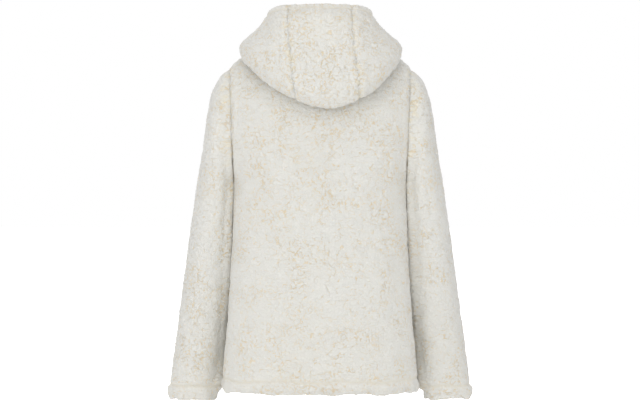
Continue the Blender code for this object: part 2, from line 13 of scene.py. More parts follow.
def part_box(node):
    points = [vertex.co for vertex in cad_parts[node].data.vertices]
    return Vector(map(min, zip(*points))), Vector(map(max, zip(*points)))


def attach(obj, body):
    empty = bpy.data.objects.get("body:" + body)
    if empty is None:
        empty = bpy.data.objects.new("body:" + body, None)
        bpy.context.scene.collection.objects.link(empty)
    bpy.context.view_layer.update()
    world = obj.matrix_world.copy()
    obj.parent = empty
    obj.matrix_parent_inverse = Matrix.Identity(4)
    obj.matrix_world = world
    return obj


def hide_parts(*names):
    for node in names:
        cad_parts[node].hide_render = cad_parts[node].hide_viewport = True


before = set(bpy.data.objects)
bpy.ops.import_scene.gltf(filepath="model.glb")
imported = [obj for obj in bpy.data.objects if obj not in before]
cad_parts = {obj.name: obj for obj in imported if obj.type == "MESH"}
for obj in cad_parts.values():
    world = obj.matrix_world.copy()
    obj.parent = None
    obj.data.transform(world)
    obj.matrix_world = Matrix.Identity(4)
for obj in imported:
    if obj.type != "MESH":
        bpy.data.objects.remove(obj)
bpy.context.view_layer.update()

# ---- The shell: back and two fronts ----
# Sherpa fleece: a knitted ground with a deep pile, brushed up and tumbled into curls and clumps.
# The panels are cut flat, sewn wrong side out at the shoulders and sides, and turned. The hem is
# turned up inside and held by one row of stitches, and a row down each front holds the zip.

SHELL = ("back", "front_left", "front_right")
CLOTH = (*SHELL, "sleeve_left", "sleeve_right", "hood_middle", "hood_left", "hood_right")


class Value:
    """A node's output that can be used in an expression."""

    def __init__(self, graph, socket):
        self.graph, self.socket = graph, socket

    def __add__(self, other):
        return self.graph.math("ADD", self, other)

    def __radd__(self, other):
        return self.graph.math("ADD", other, self)

    def __sub__(self, other):
        return self.graph.math("SUBTRACT", self, other)

    def __rsub__(self, other):
        return self.graph.math("SUBTRACT", other, self)

    def __mul__(self, other):
        return self.graph.math("MULTIPLY", self, other)

    def __rmul__(self, other):
        return self.graph.math("MULTIPLY", other, self)


class Graph:
    """A node tree that is written as expressions."""

    def __init__(self, tree):
        self.tree = tree

    def put(self, socket, value):
        if isinstance(value, Value):
            self.tree.links.new(value.socket, socket)
        elif socket.type == "VECTOR" and not hasattr(value, "__len__"):
            socket.default_value = (value, value, value)
        elif socket.type == "RGBA":
            socket.default_value = (*value, 1)
        else:
            socket.default_value = value

    def add(self, kind, settings=None, *values, **named):
        """Adds a node: its settings first, then its values, by order or by socket name."""
        node = self.tree.nodes.new(kind)
        for name, setting in (settings or {}).items():
            setattr(node, name, setting)
        sockets = [socket for socket in node.inputs if socket.enabled]
        for socket, value in zip(sockets, values):
            self.put(socket, value)
        for name, value in named.items():
            (socket,) = [socket for socket in sockets if socket.name == name.replace("_", " ")]
            self.put(socket, value)
        return [Value(self, socket) for socket in node.outputs if socket.enabled]

    def math(self, operation, *values):
        """One step of arithmetic, on vectors if any value is one."""
        kinds = {value.socket.type for value in values if isinstance(value, Value)}
        kind = "ShaderNodeVectorMath" if kinds & {"VECTOR", "RGBA"} else "ShaderNodeMath"
        return self.add(kind, {"operation": operation}, *values)[0]

    def mix(self, share, first, second):
        """A colour between two."""
        return self.add("ShaderNodeMix", {"data_type": "RGBA"}, share, first, second)[0]

    def step(self, value, low, high, out_low=0.0, out_high=1.0):
        """A smooth step of a value between two of its levels."""
        settings = {"interpolation_type": "SMOOTHSTEP"}
        return self.add("ShaderNodeMapRange", settings, value, low, high, out_low, out_high)[0]

    def noise(self, place, size, detail=0.0):
        """Noise whose features have that size, in metres: its value and its colour."""
        named = {"Vector": place, "Scale": 1 / size, "Detail": detail}
        return self.add("ShaderNodeTexNoise", {"noise_dimensions": "3D"}, **named)

    def cells(self, place, size):
        """How far it is to the edge of a cell of about that size, in metres."""
        settings = {"feature": "DISTANCE_TO_EDGE"}
        return self.add("ShaderNodeTexVoronoi", settings, Vector=place, Scale=1 / size)[0] * size


def deselect():
    bpy.ops.object.select_all(action="DESELECT")


def choose(obj):
    """Makes an object the only one selected, and active."""
    deselect()
    obj.select_set(True)
    bpy.context.view_layer.objects.active = obj


def apply_modifier(obj, kind, **settings):
    choose(obj)
    step = obj.modifiers.new(kind.lower(), kind)
    for name, value in settings.items():
        setattr(step, name, value)
    bpy.ops.object.modifier_apply(modifier=step.name)


def merged_copy(node, name):
    """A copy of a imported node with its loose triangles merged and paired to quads."""
    copy = bpy.data.objects.new(name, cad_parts[node].data.copy())
    bpy.context.scene.collection.objects.link(copy)
    choose(copy)
    bpy.ops.object.mode_set(mode="EDIT")
    bpy.ops.mesh.select_all(action="SELECT")
    bpy.ops.mesh.remove_doubles(threshold=1e-5)
    half_turn = math.pi
    bpy.ops.mesh.tris_convert_to_quads(face_threshold=half_turn / 3, shape_threshold=half_turn / 2)
    bpy.ops.object.mode_set(mode="OBJECT")
    copy.data.materials.clear()
    for layer in list(copy.data.uv_layers):
        copy.data.uv_layers.remove(layer)
    if copy.data.has_custom_normals:
        bpy.ops.mesh.customdata_custom_splitnormals_clear()
    copy.data.shade_smooth()
    return copy


def points_of(mesh):
    points = np.empty(len(mesh.vertices) * 3, np.float32)
    mesh.vertices.foreach_get("co", points)
    return points.reshape(-1, 3).astype(float)


RIGHT, WRONG, RIM, SEWN = 0, 1, 2, 3  # the right side, the wrong side and two kinds of edge wall
STEP_IN, THICKEST = 0.0016, 0.0105  # how deep a look through the cloth starts and ends
OPPOSITE = -0.84  # the cosine between a face and the one behind it, at most
BENDS_ON = 0.15  # neighbours turned by less than this cosine are one sheet


def mark_sides(cloth):
    """Marks each face by its material index: right side, wrong side or rim."""
    mesh = bmesh.new()
    mesh.from_mesh(cloth.data)
    mesh.faces.ensure_lookup_table()
    tree = BVHTree.FromBMesh(mesh)
    wall = []
    for face in mesh.faces:
        face.normal_update()
        start = face.calc_center_median() - face.normal * STEP_IN
        _, normal, _, distance = tree.ray_cast(start, -face.normal)
        thin = normal is not None and distance < THICKEST
        wall.append(thin and normal.dot(face.normal) < OPPOSITE)
    groups = []
    seen = set()
    for face in mesh.faces:
        if face.index in seen or not wall[face.index]:
            continue
        group, edge = [], [face]
        seen.add(face.index)
        while edge:
            at = edge.pop()
            group.append(at)
            for side in at.edges:
                for near in side.link_faces:
                    smooth = near.normal.dot(at.normal) > BENDS_ON
                    if near.index not in seen and wall[near.index] and smooth:
                        seen.add(near.index)
                        edge.append(near)
        groups.append(group)
    groups.sort(key=len, reverse=True)
    # The right side is the sheet that reaches further out from the jacket's middle.
    sheets = groups[:2]
    sheets.sort(key=lambda group: max(v.co.xy.length for f in group for v in f.verts), reverse=True)
    for face in mesh.faces:
        face.material_index = RIM
    for side, sheet in zip((RIGHT, WRONG), sheets):
        for face in sheet:
            face.material_index = side
    mesh.to_mesh(cloth.data)
    mesh.free()


SAME_SHEET = 0.72  # an edge face turned by less than this cosine belongs to its sheet
SEWN_GAP, NECK_GAP = 0.0016, 0.0075  # an edge wall this near another panel is sewn to it


def mark_rims(cloth, other_trees, neck_trees):
    """Marks the edge walls sewn to another panel, and gives smooth strays to their sheet."""
    mesh = bmesh.new()
    mesh.from_mesh(cloth.data)
    for face in mesh.faces:
        face.normal_update()
        middle = face.calc_center_median()
        sewn_to = [tree.find_nearest(middle, SEWN_GAP)[0] for tree in other_trees]
        sewn_to += [tree.find_nearest(middle, NECK_GAP)[0] for tree in neck_trees]
        if face.material_index == RIM and any(sewn_to):
            face.material_index = SEWN
    grow = [face for face in mesh.faces if face.material_index < RIM]
    while grow:
        at = grow.pop()
        for edge in at.edges:
            for near in edge.link_faces:
                if near.material_index == RIM and near.normal.dot(at.normal) > SAME_SHEET:
                    near.material_index = at.material_index
                    grow.append(near)
    crease = mesh.edges.layers.float.new("crease_edge")
    for edge in mesh.edges:
        kinds = {face.material_index for face in edge.link_faces}
        edge[crease] = 1.0 if len(kinds) > 1 else 0.0
    mesh.to_mesh(cloth.data)
    mesh.free()


def smooth_form(cloth, levels=2):
    """Subdivides the copy so that its surface still passes through the solid's corners."""
    aim = points_of(cloth.data)
    cage = aim.copy()
    step = cloth.modifiers.new("subdivision", "SUBSURF")
    step.levels = step.render_levels = levels
    tries, share = 3, 0.9
    for _ in range(tries):
        cloth.data.vertices.foreach_set("co", cage.astype(np.float32).ravel())
        cloth.data.update()
        shown = cloth.evaluated_get(bpy.context.evaluated_depsgraph_get())
        cage += share * (aim - points_of(shown.data)[: len(aim)])
    cloth.data.vertices.foreach_set("co", cage.astype(np.float32).ravel())
    choose(cloth)
    bpy.ops.object.modifier_apply(modifier=step.name)


def edges_of(mesh):
    ends = np.empty(len(mesh.edges) * 2, np.int32)
    mesh.edges.foreach_get("vertices", ends)
    return ends.reshape(-1, 2)


def relaxed(values, ends, rounds):
    """Values of vertices averaged with their neighbours' a number of times."""
    count = len(values)
    both = np.concatenate([ends, ends[:, ::-1]])
    share = np.bincount(both[:, 0], minlength=count)[:, None]
    for _ in range(rounds):
        total = [np.bincount(both[:, 0], column[both[:, 1]], count) for column in values.T]
        values = (values + np.stack(total, axis=1) / share) / 2
    return values


def store(mesh, name, values, kind="FLOAT"):
    layer = mesh.attributes.new(name, kind, "POINT")
    field = "vector" if kind == "FLOAT_VECTOR" else "value"
    layer.data.foreach_set(field, np.asarray(values, np.float32).ravel())


BORDER_STEP = 0.002


def border_points(form):
    """Points a step apart along the sewn edge walls, and along the right side's free border."""
    mesh = form.data
    kinds = {}
    for polygon in mesh.polygons:
        for key in polygon.edge_keys:
            kinds.setdefault(key, []).append(polygon.material_index)
    points = points_of(mesh)
    sewn, free = [], []
    for (a, b), sides in kinds.items():
        border = RIGHT in sides and RIM in sides
        if SEWN in sides or border:
            steps = max(int(np.linalg.norm(points[a] - points[b]) / BORDER_STEP), 1)
            shares = (np.arange(steps) / steps)[:, None]
            (free if border else sewn).append(points[a] * (1 - shares) + points[b] * shares)
    return np.concatenate(sewn), np.concatenate(free)


def tree_of(points):
    tree = KDTree(len(points))
    for index, point in enumerate(points):
        tree.insert(point, index)
    tree.balance()
    return tree


def surface_tree(corners, faces):
    return BVHTree.FromPolygons([Vector(corner) for corner in corners], faces)


def faces_of(mesh):
    return [tuple(polygon.vertices) for polygon in mesh.polygons]


def meet_at_neck(node, other):
    """Whether one is of the hood and the other of the shell."""
    return ("hood" in node) != ("hood" in other) and "sleeve" not in node + other


# Every panel's form comes first, because each seam is found from the panels on both its sides.
forms, trees, borders = {}, {}, {}
for node in CLOTH:
    form = forms[node] = merged_copy(node, "form_" + node)
    mark_sides(form)
    trees[node] = surface_tree(points_of(form.data), faces_of(form.data))
for node in CLOTH:
    others = [other for other in CLOTH if other != node]
    neck_trees = [trees[other] for other in others if meet_at_neck(node, other)]
    mark_rims(forms[node], [trees[other] for other in others], neck_trees)
    smooth_form(forms[node])
    borders[node] = border_points(forms[node])

VOXEL = 0.0023
BACKING_SHARE = 0.15  # how many of the inside's triangles are kept
PLAIN_INSIDE = 0.034  # how far from an open edge the inside is plain


def fine_cloth(node):
    """The panel's fine mesh, with what its pile and looks need stored at its points."""
    form = forms[node]
    seam, free = borders[node]
    piece = form.copy()
    piece.data = form.data.copy()
    piece.name = piece.data.name = node + "_cloth"
    bpy.context.scene.collection.objects.link(piece)
    apply_modifier(piece, "REMESH", mode="VOXEL", voxel_size=VOXEL, use_smooth_shade=True)
    apply_modifier(piece, "SMOOTH", factor=0.5, iterations=6)
    mesh = piece.data
    # Which side each point is on, and the way out from the right side.
    corners, faces = points_of(form.data), faces_of(form.data)
    sides = np.empty(len(faces), np.int32)
    form.data.polygons.foreach_get("material_index", sides)
    tree = surface_tree(corners, faces)
    right_tree = surface_tree(corners, [f for f, side in zip(faces, sides) if side == RIGHT])
    points = points_of(mesh)
    side = np.array([sides[tree.find_nearest(point)[2]] for point in points])
    # The plain inside needs far fewer faces than the pile does.
    free_tree = tree_of(free)
    inside = np.flatnonzero(side == WRONG).tolist()
    plain = [n for n in inside if free_tree.find(points[n])[2] > PLAIN_INSIDE]
    piece.vertex_groups.new(name="backing").add(plain, 1.0, "REPLACE")
    keep = 1 - len(plain) / len(points) * (1 - BACKING_SHARE)
    apply_modifier(piece, "DECIMATE", ratio=keep, vertex_group="backing")
    points = points_of(mesh)
    side = np.array([sides[tree.find_nearest(point)[2]] for point in points])
    out = np.array([right_tree.find_nearest(point)[1] for point in points])
    out = relaxed(out, edges_of(mesh), rounds=12)
    out /= np.linalg.norm(out, axis=1, keepdims=True)
    seam_tree = tree_of(seam)
    to_seam = np.array([seam_tree.find(point)[2] for point in points])
    to_free = np.array([free_tree.find(point)[2] for point in points])
    return Cloth(node, piece, points, out, side, to_seam, to_free)


def bell(away, width):
    """1 at nought, and fading to nothing over about twice the width."""
    return np.exp(-((away / width) ** 2))


def normals_of(mesh):
    normals = np.empty(len(mesh.vertices) * 3, np.float32)
    mesh.vertices.foreach_get("normal", normals)
    return normals.reshape(-1, 3)


WARM_SEAM = 0.012  # how far the painted warm seam shade and the denser pile reach from a seam
SEAM_REACH, SEAM_REACH_WIDTH = 0.0034, 0.007  # how far each edge presses into its neighbour
FOLD_ENDS = 0.25  # a fold keeps this share of its depth at its ends
FOLD_IN_DEPTH = 0.25  # how much of the way in or out counts in a point's distance to a fold
ON_ROW = 0.0013  # a point this near a row of stitches is on it


class Cloth:
    """A panel's fine mesh, with its points and what is known of each."""

    def __init__(self, node, piece, points, out, side, to_seam, to_free):
        self.node, self.piece, self.points, self.out = node, piece, points, out
        self.side, self.to_seam, self.to_free = side, to_seam, to_free
        self.rest = points.copy()
        self.x, self.y, self.z = self.rest.T
        self.pile = np.where(side == WRONG, 0.0, 1.0)
        self.lumpy = np.zeros(len(points))
        self.stitched = np.zeros(len(points))
        self.seamed = np.clip(1 - to_seam / WARM_SEAM, 0, 1)

    def push(self, amount):
        """Moves the points out from the body by an amount in metres."""
        self.points += self.out * amount[:, None]

    def crease(self, folds):
        """Soft troughs from a table of folds."""
        for *ends, width, depth in folds:
            start, way = np.array(ends[:3]), np.array(ends[3:]) - np.array(ends[:3])
            along = np.clip((self.rest - start) @ way / (way @ way), 0, 1)
            away = self.rest - start - along[:, None] * way
            gap = np.linalg.norm(away * (1, FOLD_IN_DEPTH, 1), axis=1)
            swell = np.sin(math.pi * np.clip(along, 0.02, 0.98)) ** 0.6
            taper = FOLD_ENDS + (1 - FOLD_ENDS) * swell
            self.push(-depth * taper * bell(gap, width))

    def seam(self, depth=0.0014, width=0.0045, ridge=0.0009):
        """The cloth is drawn in where it is sewn, and stands up beside the seam."""
        draw = depth * bell(self.to_seam, width)
        stand = ridge * bell(self.to_seam - 2.8 * width, 1.3 * width)
        self.push(np.where(self.side == WRONG, -0.9 * draw, stand - draw))
        # The edge wall, which faces along the cloth, presses into the next panel's.
        normals = normals_of(self.piece.data)
        facing = np.clip(1.35 * (1 - np.abs((normals * self.out).sum(axis=1))) - 0.35, 0, 1)
        reach = SEAM_REACH * facing * bell(self.to_seam, SEAM_REACH_WIDTH)
        self.points += normals * reach[:, None]

    def topstitch(self, away, depth=0.0022, width=0.0032):
        """A row of stitches at a distance of nought pulls both walls together."""
        near = bell(away, width)
        self.push(np.where(self.side == RIGHT, -depth, depth * 0.5) * near * (self.side < RIM))
        self.stitched = np.maximum(self.stitched, near * (self.side == RIGHT))

    def finish(self, dense):
        """Raises the pile and hands the piece to its body."""
        mesh = self.piece.data
        mesh.vertices.foreach_set("co", self.points.astype(np.float32).ravel())
        ends = edges_of(mesh)
        held_down = 1 - 0.6 * self.stitched
        store(mesh, "pile", relaxed(self.pile[:, None] * held_down[:, None], ends, rounds=2))
        store(mesh, "lumpy", relaxed(self.lumpy[:, None], ends, rounds=4))
        store(mesh, "stitched", self.stitched)
        store(mesh, "seamed", self.seamed)
        store(mesh, "dense", dense + 1.2 * self.seamed)
        store(mesh, "rest", self.rest, "FLOAT_VECTOR")
        apply_modifier(self.piece, "NODES", node_group=PILE)
        self.piece.data.materials.clear()
        self.piece.data.materials.append(FLEECE)
        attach(self.piece, "jacket")
        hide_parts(self.node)

    def row(self, away, where):
        """The finished cloth's points on a row of stitches, and their normals."""
        found = np.flatnonzero((np.abs(away) < ON_ROW) & where & (self.side == RIGHT))
        return points_of(self.piece.data)[found], normals_of(self.piece.data)[found]


def repeated(name, model, places):
    """One mesh of many copies of a model, one in each place. The model goes."""
    corners, faces = points_of(model.data), faces_of(model.data)
    moved = [corners @ np.array(at.to_3x3()).T + np.array(at.translation) for at in places]
    count = len(corners)
    every = [tuple(v + n * count for v in face) for n in range(len(places)) for face in faces]
    mesh = bpy.data.meshes.new(name)
    mesh.from_pydata(np.concatenate(moved).tolist(), [], every)
    mesh.shade_smooth()
    bpy.data.objects.remove(model)
    many = bpy.data.objects.new(name, mesh)
    bpy.context.scene.collection.objects.link(many)
    choose(many)
    bpy.ops.object.shade_smooth_by_angle(angle=math.radians(40))
    return many


STITCH = 0.0052  # from each hole to the next
THREAD_RADIUS, THREAD_BOW, THREAD_STANDS = 0.00035, 0.0006, 0.0005
THREAD_SHOWS = 0.8  # of each stitch's length


def along_row(points, step):
    """Points of a row picked a stitch apart, and the way that the row runs at each."""
    left = list(range(len(points)))
    picked = []
    at = int(np.argmin(points.sum(axis=1)))
    nearest = step * 0.85
    while left:
        picked.append(at)
        gaps = np.linalg.norm(points[left] - points[at], axis=1)
        left = [n for n, gap in zip(left, gaps) if gap > nearest]
        gaps = gaps[gaps > nearest]
        if left:
            at = left[int(np.argmin(gaps))]
    ways = []
    for n in picked:
        near = points[np.linalg.norm(points - points[n], axis=1) < step * 1.3]
        ways.append(np.linalg.svd(near - near.mean(axis=0))[2][0])
    return points[picked], np.array(ways), picked


def thread_row(rows, name):
    """Sewing thread that shows between the holes of a row, as one mesh of short bowed stitches."""
    deselect()
    bpy.ops.mesh.primitive_cylinder_add(
        vertices=6, radius=THREAD_RADIUS, depth=STITCH * THREAD_SHOWS, end_fill_type="NGON"
    )
    thread = bpy.context.object
    choose(thread)
    bpy.ops.object.mode_set(mode="EDIT")
    bpy.ops.mesh.select_all(action="SELECT")
    bpy.ops.mesh.subdivide(number_cuts=1)
    bpy.ops.object.mode_set(mode="OBJECT")
    corners = points_of(thread.data)
    corners[:, 1] -= THREAD_BOW * (corners[:, 2] / (STITCH * THREAD_SHOWS / 2)) ** 2
    thread.data.vertices.foreach_set("co", corners.astype(np.float32).ravel())
    places = []
    for points, normals in rows:
        spots, ways, picked = along_row(points, STITCH)
        for spot, way, normal in zip(spots, ways, normals[picked]):
            out, along = Vector(normal), Vector(way)
            across = out.cross(along).normalized()
            out = along.cross(across).normalized()
            turn = Matrix((across, out, along)).transposed().to_4x4()
            places.append(Matrix.Translation(Vector(spot) + out * THREAD_STANDS) @ turn)
    row = repeated(name, thread, places)
    row.data.materials.append(THREAD)
    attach(row, "jacket")


CLUMP, SMALL_CLUMP, CURL, PATCH = 0.015, 0.0092, 0.0058, 0.050  # widths of the pile's parts
LUMP_HIGH, CLUMP_HIGH, SMALL_CLUMP_HIGH, CURL_HIGH = 0.0034, 0.0008, 0.0007, 0.0010
EDGE_ROLL_HIGH = 0.009  # how unevenly the pile swells at a turned edge
PILE_SUNK = 0.0010  # the pile's feet lie this far under the panel's face


def pile(graph, place, dense):
    """The pile's pattern: distances to three kinds of hollow, and how open the first two are."""
    wander = graph.noise(place, 0.013, 1.0)[1]
    wriggle = graph.noise(place, 0.004)[1]
    bent = place + (wander - 0.5) * 0.009 + (wriggle - 0.5) * 0.004
    patch = graph.step(graph.noise(place + 12.4, PATCH, 1.0)[0], 0.30, 0.60, 0.55, 1.0)
    small_patch = graph.step(graph.noise(place + 7.3, PATCH, 1.0)[0] + dense * 0.14, 0.40, 0.66)
    gaps = graph.step(graph.noise(bent, 0.0062)[0], 0.44, 0.57)
    small_gaps = graph.step(graph.noise(bent + 2.2, 0.0055)[0], 0.45, 0.58)
    rows = bent * (0.75, 0.9, 1.2) + 5.1
    arc = graph.math("ABSOLUTE", graph.noise(rows, CLUMP)[0] - 0.5) * 0.040
    small_clump = graph.cells(bent + 3.1, SMALL_CLUMP)
    curl = graph.cells(place + (wriggle - 0.5) * 0.003 + 9.0, CURL)
    return arc, small_clump, curl, patch * gaps, small_patch * small_gaps


def pile_nodes():
    """Geometry nodes that raise the pile along the cloth's normals."""
    tree = bpy.data.node_groups.new("pile", "GeometryNodeTree")
    for way in ("INPUT", "OUTPUT"):
        tree.interface.new_socket("Cloth", in_out=way, socket_type="NodeSocketGeometry")
    graph = Graph(tree)
    cloth = graph.add("NodeGroupInput")[0]

    def stored(name, kind="FLOAT"):
        return graph.add("GeometryNodeInputNamedAttribute", {"data_type": kind}, name)[0]

    rest = stored("rest", "FLOAT_VECTOR")
    normal = graph.add("GeometryNodeInputNormal")[0]
    arc, small_clump, curl, open_ways, close_ways = pile(graph, rest, stored("dense"))
    lumps = graph.noise(rest, 0.024, 1.0)[0] - 0.5
    rolls = graph.noise(rest + 4.4, 0.026, 0.0)[0] - 0.5
    domes = graph.step(arc, 0.0, 0.0034) * (0.45 + open_ways * 0.55)
    small_domes = graph.step(small_clump, 0.0, 0.0030) * (0.50 + close_ways * 0.5)
    curls = graph.step(curl, 0.0, 0.0022)
    height = lumps * LUMP_HIGH + domes * CLUMP_HIGH
    height = height + small_domes * SMALL_CLUMP_HIGH + curls * CURL_HIGH
    height = height + rolls * stored("lumpy") * EDGE_ROLL_HIGH
    offset = normal * ((height - PILE_SUNK) * stored("pile"))
    raised = graph.add("GeometryNodeSetPosition", None, Geometry=cloth, Offset=offset)[0]
    graph.add("NodeGroupOutput", None, raised)
    return tree


PILE = pile_nodes()

CREAM, DEEP_CREAM = (0.790, 0.781, 0.742), (0.780, 0.768, 0.722)
# The greyer cream next is a random grain, and painted shade at the curls' edges.
# The yellow seam cream is the thread's tint by the stitches, and painted warm shade by the seams.
CREAM_GRAIN_AND_CURL_SHADE, THREAD_TINT_AND_SEAM_SHADE = (0.735, 0.724, 0.680), (0.79, 0.72, 0.56)
# The tan below is painted warm shade for the pile's hollows.
TAN_HOLLOW_SHADE = (0.76, 0.63, 0.42)
BACKING, DEEP_BACKING = (0.76, 0.75, 0.71), (0.73, 0.715, 0.67)
WALES, COURSES = 4200, 3300  # how fast the knitted ground's columns and rows repeat


def new_material(name):
    """A material, its graph and its shader."""
    material = bpy.data.materials.new(name)
    material.use_nodes = True
    return material, Graph(material.node_tree), material.node_tree.nodes["Principled BSDF"]


def fleece_material():
    """The pile where it is raised, and the knitted ground on the plain side."""
    material, graph, shader = new_material("sherpa_fleece")

    def stored(name, output=2):
        return graph.add("ShaderNodeAttribute", {"attribute_name": name})[output]

    rest, reach = stored("rest", 1), stored("pile")
    arc, small_clump, curl, open_ways, close_ways = pile(graph, rest, stored("dense"))
    # The tan lines in the pile's hollows are painted warm shade, the dimmer and yellower light deep
    # between the clumps. The bump sinks the same lines.
    line = (1 - graph.step(arc, 0.0002, 0.0010)) * open_ways
    small_line = (1 - graph.step(small_clump, 0.0002, 0.0009)) * close_ways
    hollow = graph.math("MAXIMUM", line, small_line) * reach
    tone = graph.step(graph.noise(rest, 0.09, 2.0)[0], 0.3, 0.7)
    grain = graph.step(graph.noise(rest, 0.0045, 1.0)[0], 0.3, 0.7)
    between = (1 - graph.step(curl, 0.0001, 0.0012)) * reach
    warm = graph.step(graph.noise(rest + 1.7, 0.012, 1.0)[0], 0.45, 0.66)
    cream = graph.mix(tone, CREAM, DEEP_CREAM)
    # The greyer cream is a random grain, and painted shade where the curls meet.
    cream = graph.mix(graph.math("MAXIMUM", grain * 0.5, between * 0.7), cream, CREAM_GRAIN_AND_CURL_SHADE)
    # Near the stitches the yellower cream is the thread's tint. Near the seams it is painted warm
    # shade in the valleys.
    thread_tint_and_seam_shade = graph.math("MAXIMUM", stored("stitched") * 0.5, stored("seamed") * warm * 0.9)
    cream = graph.mix(thread_tint_and_seam_shade, cream, THREAD_TINT_AND_SEAM_SHADE)
    colour = graph.mix(hollow * 0.8, cream, TAN_HOLLOW_SHADE)
    backing = graph.mix(tone, BACKING, DEEP_BACKING)
    colour = graph.mix(reach, backing, colour)
    graph.put(shader.inputs["Base Color"], colour)
    curls = graph.cells(rest + (graph.noise(rest, 0.004)[1] - 0.5) * 0.003, 0.0042)
    fuzz = graph.noise(rest, 0.0016, 1.0)[0]
    height = graph.step(curls, 0.0, 0.0016) * 0.0008 + fuzz * 0.00030 - hollow * 0.0010
    # The knitted backing's wales run up and down the panel, and its courses across.
    across, into, up = graph.add("ShaderNodeSeparateXYZ", None, rest)
    wales = graph.math("SINE", (across + into) * WALES)
    courses = graph.math("SINE", up * COURSES + wales * 1.2)
    knit = (wales + courses) * 0.00008
    height = knit * (1 - reach) + height * reach
    bump = graph.add("ShaderNodeBump", None, Strength=0.8, Distance=1.0, Height=height)[0]
    graph.put(shader.inputs["Normal"], bump)
    shader.inputs["Roughness"].default_value = 0.95
    shader.inputs["Specular IOR Level"].default_value = 0.2
    shader.inputs["Subsurface Weight"].default_value = 0.5
    shader.inputs["Subsurface Scale"].default_value = 0.010
    shader.inputs["Subsurface Radius"].default_value = (0.9, 0.85, 0.8)
    shader.inputs["Sheen Weight"].default_value = 0.15
    shader.inputs["Sheen Roughness"].default_value = 0.6
    return material


def object_place(graph):
    """The Object coordinates."""
    return graph.add("ShaderNodeTexCoord")[3]


def thread_material():
    """Spun polyester thread, a shade yellower than the pile."""
    material, graph, shader = new_material("sewing_thread")
    place = object_place(graph)
    fine = graph.noise(place, 0.0008, 1.0)[0]
    graph.put(shader.inputs["Base Color"], graph.mix(fine, (0.80, 0.74, 0.60), (0.86, 0.82, 0.70)))
    bump = graph.add("ShaderNodeBump", None, Strength=0.6, Distance=1.0, Height=fine * 0.0001)[0]
    graph.put(shader.inputs["Normal"], bump)
    shader.inputs["Roughness"].default_value = 0.7
    return material


FLEECE = fleece_material()
THREAD = thread_material()
HEM_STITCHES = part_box("back")[0].z + 0.026
HEM_WAVE = 0.0022
ZIP_STITCHES = 0.0150  # from the jacket's middle to the row that holds the zip
TURNED_ROLL = 0.010  # how far past its stitches a turned edge is at its most uneven
SEAM_ALLOWANCE = 0.004  # a row of stitches and the turned edge's pile stop this near a seam

# How each panel was cut: width, length and area with its hem, and what it hangs from.
CUTS = {
    "back": (0.52, 0.70, 0.280),
    "front_left": (0.27, 0.70, 0.142, "back"),
    "front_right": (0.27, 0.70, 0.142, "back"),
}
# Soft folds on each panel: from and to (across, in, up), width and depth.
FOLDS = {
    "back": (
        (0.108, 0.09, -0.30, 0.100, 0.09, -0.45, 0.020, 0.0024),
        (-0.135, 0.08, -0.42, -0.150, 0.07, -0.56, 0.018, 0.0022),
        (-0.020, 0.11, -0.268, -0.090, 0.10, -0.274, 0.0042, 0.0018),
        (-0.070, 0.11, -0.284, -0.150, 0.09, -0.281, 0.0042, 0.0016),
        (-0.015, 0.11, -0.297, -0.110, 0.10, -0.303, 0.0042, 0.0020),
        (-0.030, 0.11, -0.327, -0.140, 0.09, -0.322, 0.0042, 0.0018),
        (-0.050, 0.11, -0.348, -0.120, 0.10, -0.354, 0.0042, 0.0020),
        (0.160, 0.09, -0.362, 0.110, 0.10, -0.368, 0.0042, 0.0015),
        (0.140, 0.07, -0.27, 0.070, 0.10, -0.33, 0.012, 0.0014),
        (0.030, 0.10, -0.52, 0.070, 0.09, -0.62, 0.016, 0.0018),
        (-0.040, 0.10, -0.55, -0.060, 0.09, -0.63, 0.015, 0.0016),
    ),
    "front_left": (
        (0.130, -0.08, -0.26, 0.070, -0.12, -0.33, 0.012, 0.0018),
        (0.110, -0.10, -0.36, 0.095, -0.11, -0.50, 0.018, 0.0022),
        (0.050, -0.12, -0.48, 0.065, -0.12, -0.61, 0.015, 0.0018),
        (0.030, -0.13, -0.30, 0.100, -0.11, -0.315, 0.007, 0.0009),
    ),
    "front_right": (
        (-0.135, -0.08, -0.27, -0.080, -0.12, -0.32, 0.012, 0.0016),
        (-0.100, -0.10, -0.40, -0.115, -0.10, -0.54, 0.019, 0.0022),
        (-0.045, -0.12, -0.50, -0.050, -0.12, -0.62, 0.014, 0.0016),
        (-0.035, -0.13, -0.34, -0.110, -0.11, -0.350, 0.007, 0.0010),
    ),
}

shell_rows = []
for node in SHELL:
    cloth = fine_cloth(node)
    cloth.seam()
    cloth.crease(FOLDS[node])
    # The row of stitches wanders a little round the hem, and the pile runs on inside below it.
    around = np.arctan2(cloth.y, cloth.x)
    wave = HEM_WAVE * (np.sin(around * 7 + 0.6) + 0.6 * np.sin(around * 17 + 2.0))
    above = cloth.z - HEM_STITCHES - wave
    cloth.pile = np.where((above < 0) & (cloth.to_seam > SEAM_ALLOWANCE), 1.0, cloth.pile)
    cloth.lumpy = np.clip(-above / TURNED_ROLL, 0, 1)
    cloth.topstitch(above)
    beside = np.abs(cloth.x) - ZIP_STITCHES
    if node != "back":
        cloth.topstitch(np.where(above > 0, beside, 1), depth=0.0016, width=0.0028)
    cloth.finish(dense=0.15)
    shell_rows.append(cloth.row(above, cloth.to_seam > SEAM_ALLOWANCE))
    if node != "back":
        shell_rows.append(cloth.row(beside, above > SEAM_ALLOWANCE))
thread_row(shell_rows, "hem_and_zip_stitches")

